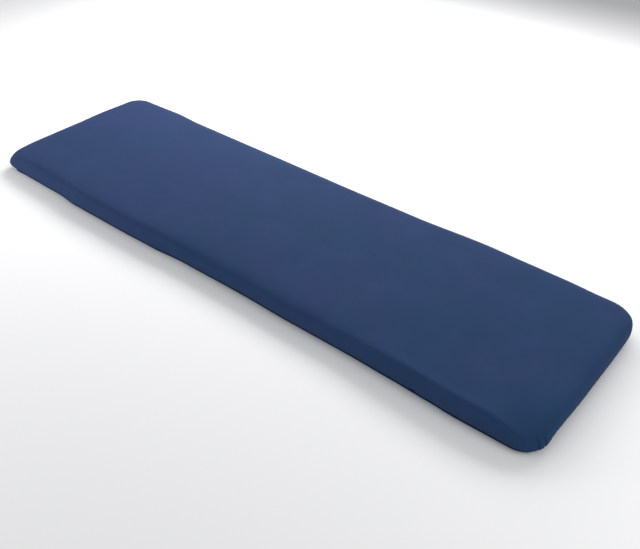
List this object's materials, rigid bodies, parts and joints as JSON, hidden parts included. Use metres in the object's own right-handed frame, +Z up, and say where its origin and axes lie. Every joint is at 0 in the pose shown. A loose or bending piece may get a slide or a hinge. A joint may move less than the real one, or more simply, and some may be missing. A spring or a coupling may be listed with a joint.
{
  "type": "bench cushion",
  "caption": "Long, thin bench cushion with a soft crowned top, rounded corners and edges, a plain wrapped cloth cover puckered along its lower seam, and a flat base panel.",
  "frame": {"origin": "on the surface the cushion lies on, under the middle of its box", "axes": "+X along the cushion's length, +Y across its width, +Z up through its thickness"},
  "size_m": [1.5025, 0.4527, 0.0499],
  "materials": {
    "cover": "matt, closely woven",
    "base": "matt, closely woven"
  },
  "bodies": {
    "root": {"cushion": "cover", "base_panel": "base"}
  },
  "joints": []
}
